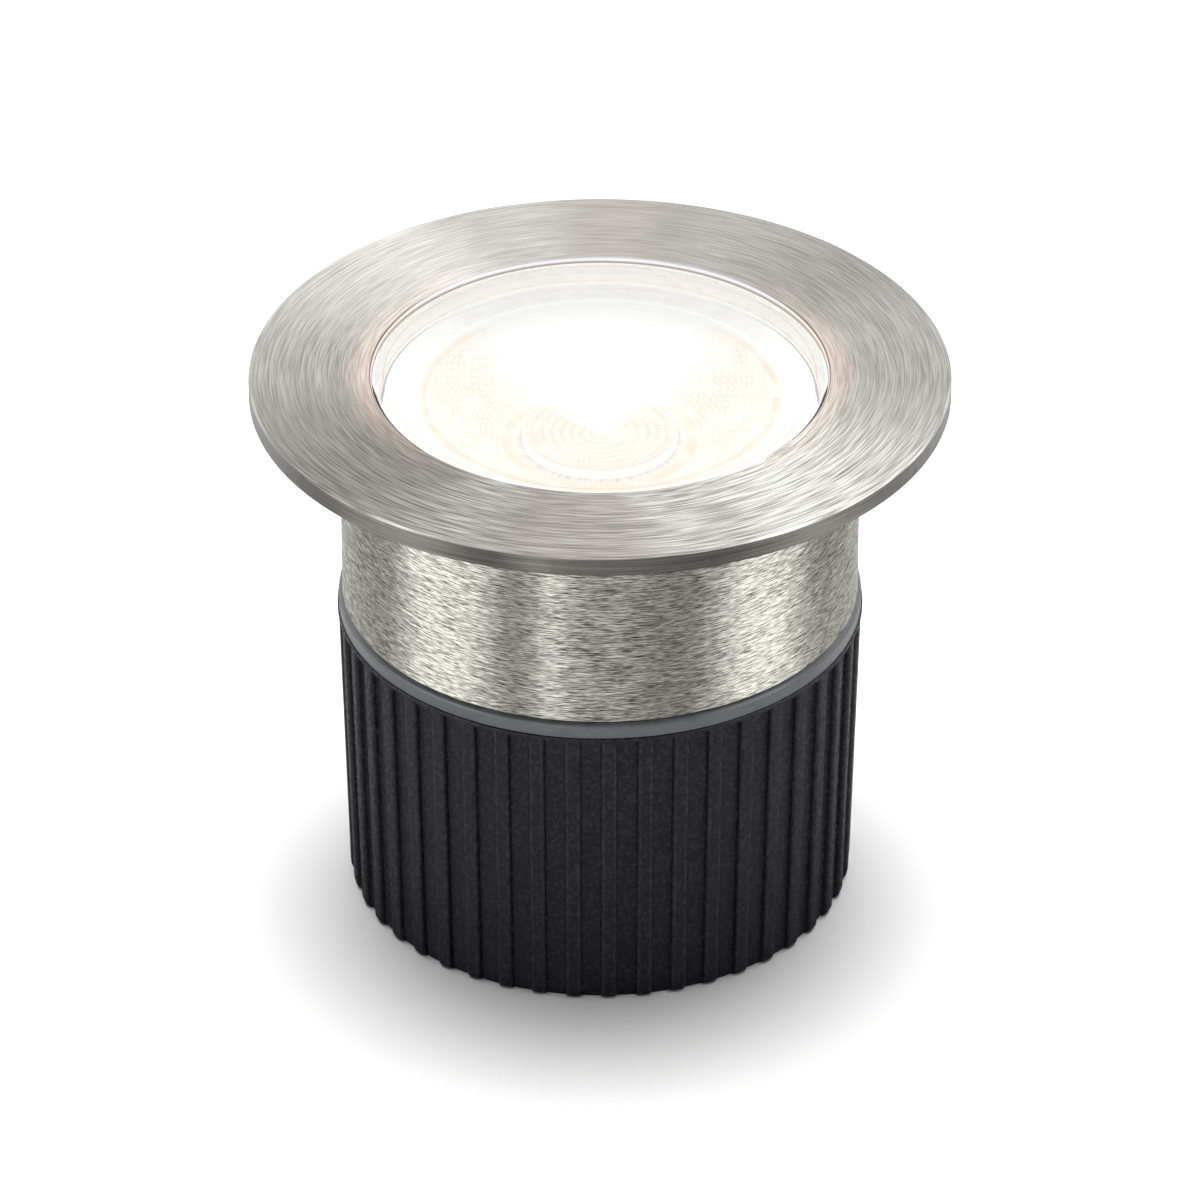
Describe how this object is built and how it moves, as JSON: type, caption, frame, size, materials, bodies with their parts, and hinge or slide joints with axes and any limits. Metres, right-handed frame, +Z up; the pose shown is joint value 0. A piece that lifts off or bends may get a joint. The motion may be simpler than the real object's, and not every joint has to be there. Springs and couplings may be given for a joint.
{
  "type": "in-ground well light",
  "caption": "Round recessed ground light: flanged glass-fronted lamp head that lifts out of a ribbed buried canister, with cable gland and driver inside.",
  "frame": {"origin": "centre of the canister's base, on the surface that it stands on", "axes": "+Z up, out of the ground, through the glass; -Y towards the picture's viewer"},
  "size_m": [0.1, 0.1, 0.0832],
  "materials": {
    "brushed_steel": "satin",
    "black_plastic": "matte",
    "grey_seal": "satin",
    "clear_glass": "polished",
    "silicone": "matte",
    "black_rubber": "matte",
    "white_plastic": "satin",
    "clear_plastic": "polished",
    "light_source": "matte",
    "white_board": "matte",
    "thermal_pad": "matte",
    "cast_aluminium": "satin",
    "fastener_steel": "satin",
    "circuit_board": "satin",
    "brass": "satin",
    "nickel": "polished",
    "component_black": "satin",
    "terminal_green": "satin",
    "lead_red": "satin"
  },
  "bodies": {
    "canister": {"ground_canister": "black_plastic", "rim_seal": "grey_seal"},
    "lamp_head": {"face_ring": "brushed_steel", "barrel_sleeve": "brushed_steel", "glass_lens": "clear_glass", "glass_gasket": "silicone", "optic_holder": "white_plastic", "tir_optic": "clear_plastic", "chip_ring": "white_plastic", "light_source": "light_source", "led_board": "white_board", "thermal_pad": "thermal_pad", "led_board_screws": "fastener_steel", "led_housing": "cast_aluminium", "housing_o_rings": "black_rubber", "middle_gasket": "silicone", "driver_housing": "cast_aluminium", "centring_ring": "black_rubber", "rear_gasket": "silicone", "rear_cover": "cast_aluminium", "cover_screws": "fastener_steel", "driver_board": "circuit_board", "driver_posts": "brass", "driver_screws": "fastener_steel", "driver_capacitors": "component_black", "driver_coil": "component_black", "driver_chip": "component_black", "terminal_block": "terminal_green", "led_leads": "lead_red", "gland_body": "nickel", "gland_washer": "black_rubber", "gland_seal": "black_rubber", "gland_locknut": "nickel", "breather_vent": "component_black"},
    "gland_nut": {"gland_nut": "nickel"}
  },
  "joints": [
    {"name": "head_lift", "type": "slide", "parent": "canister", "child": "lamp_head", "axis": [0, 0, 1], "range_m": [0, 0.06]},
    {"name": "nut_turn", "type": "hinge", "parent": "lamp_head", "child": "gland_nut", "pos_m": [0, 0, 0.0158], "axis": [0, 0, -1], "range_deg": [0, 360]}
  ]
}
